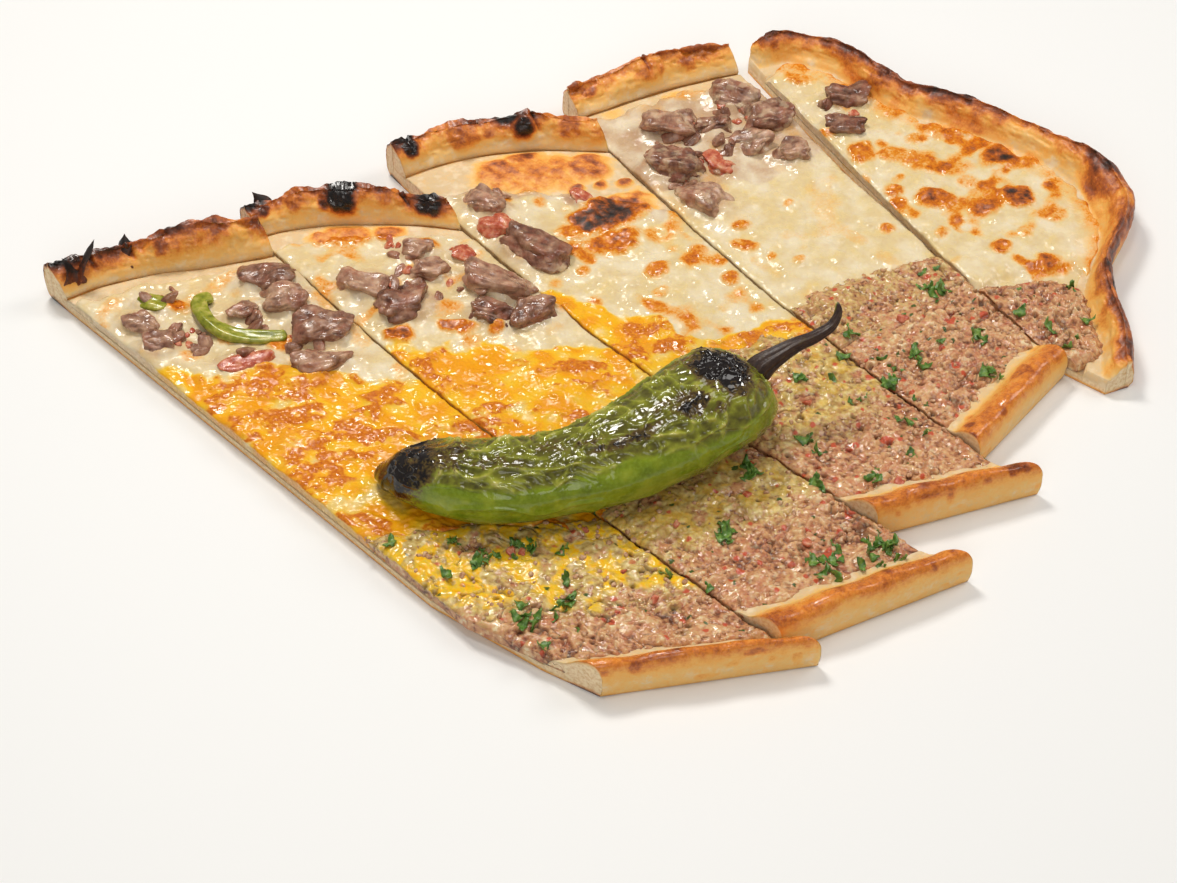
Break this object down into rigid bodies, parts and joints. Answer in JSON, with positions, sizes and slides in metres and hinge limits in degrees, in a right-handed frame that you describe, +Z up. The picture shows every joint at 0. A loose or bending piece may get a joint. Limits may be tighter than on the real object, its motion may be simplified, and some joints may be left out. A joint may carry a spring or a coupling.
{
  "type": "turkish pide",
  "caption": "Sliced mixed Turkish pide: flat bread with folded rims, melted cheese, minced and diced meat, and a roasted green pepper on top.",
  "frame": {"origin": "under the middle of the whole, on the surface that it rests on", "axes": "+Z up; +X along the bread, from the open cut to its rounded end; +Y along the cuts, towards the rim beside the diced meat"},
  "size_m": [0.298, 0.3018, 0.0446],
  "materials": {
    "bread": "baked flatbread, pale at the sides and cuts, golden brown to burnt on the rims",
    "cheese": "melted cheese, cream to bright yellow with brown blisters, oily sheen",
    "mince": "baked minced meat with egg, pinkish brown, moist",
    "meat": "diced roast meat, mauve brown, moist fibres",
    "tomato": "cooked tomato, soft and wet",
    "pepper": "roasted green pepper, wrinkled glossy skin with burnt patches",
    "stem": "dark dried pepper stem"
  },
  "bodies": {
    "root": {"bread_a": "bread", "bread_b": "bread", "bread_c": "bread", "bread_d": "bread", "bread_e": "bread", "cheese_a": "cheese", "cheese_b": "cheese", "cheese_c": "cheese", "cheese_d": "cheese", "cheese_e": "cheese", "meat_a1": "meat", "meat_a2": "meat", "meat_a3": "meat", "meat_a4": "meat", "meat_a5": "meat", "meat_a6": "meat", "meat_a7": "meat", "meat_b1": "meat", "meat_b2": "meat", "meat_b3": "meat", "meat_b4": "meat", "meat_b5": "meat", "meat_b6": "meat", "meat_b7": "meat", "meat_c1": "meat", "meat_c2": "meat", "meat_d1": "meat", "meat_d2": "meat", "meat_d3": "meat", "meat_d4": "meat", "meat_d5": "meat", "meat_d6": "meat", "meat_d7": "meat", "meat_d8": "meat", "meat_e1": "meat", "meat_e2": "meat", "mince_a": "mince", "mince_b": "mince", "mince_c": "mince", "mince_d": "mince", "mince_e": "mince", "pepper_a1": "pepper", "pepper_curl": "pepper", "pepper_stem": "stem", "roasted_pepper": "pepper", "tomato_a1": "tomato", "tomato_b1": "tomato", "tomato_c1": "tomato", "tomato_c2": "tomato", "tomato_d1": "tomato"}
  },
  "joints": []
}
